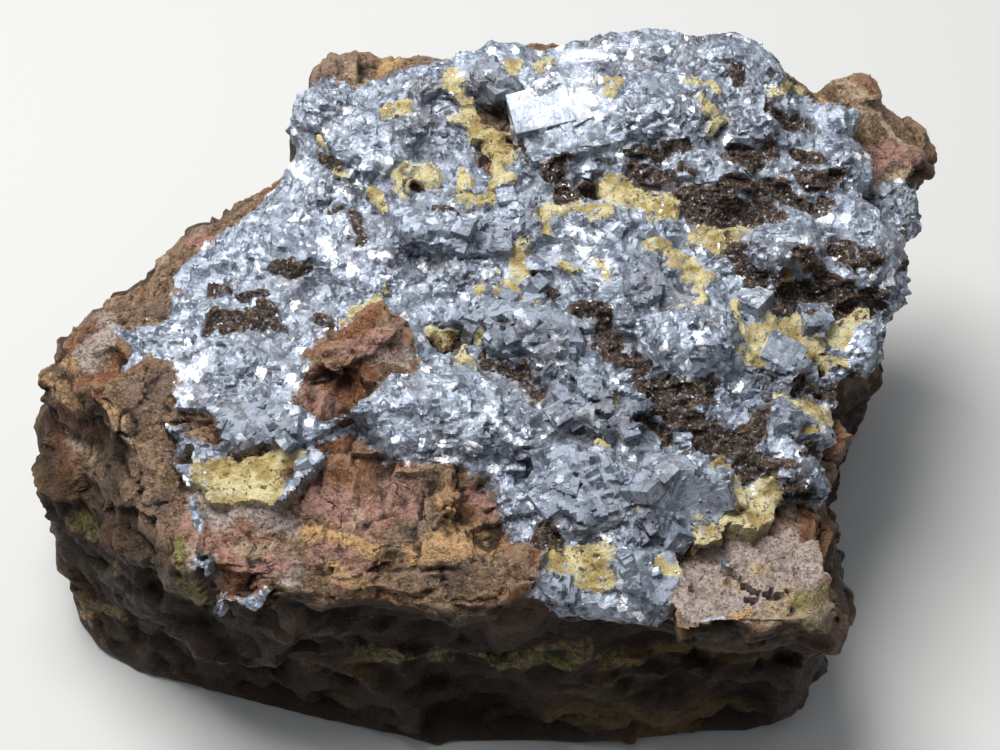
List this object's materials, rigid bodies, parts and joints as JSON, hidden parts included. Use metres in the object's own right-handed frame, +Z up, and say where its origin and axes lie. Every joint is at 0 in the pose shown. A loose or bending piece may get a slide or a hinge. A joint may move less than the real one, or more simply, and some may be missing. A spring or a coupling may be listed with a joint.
{
  "type": "galena mineral specimen",
  "caption": "Loose hand specimen of galena: grey metallic nodules and cubes grown as a crust on a rough brown iron-stained rock, with earthy yellow hollows.",
  "frame": {"origin": "under the middle of the specimen, on the surface it rests on", "axes": "+Z up, +X along the specimen's length, -Y towards the broken front face"},
  "size_m": [0.1242, 0.0872, 0.0629],
  "materials": {
    "host_rock": "rough, iron stained",
    "galena": "bright metallic cleavage"
  },
  "bodies": {
    "root": {"host_rock": "host_rock", "galena_crust": "galena"}
  },
  "joints": []
}
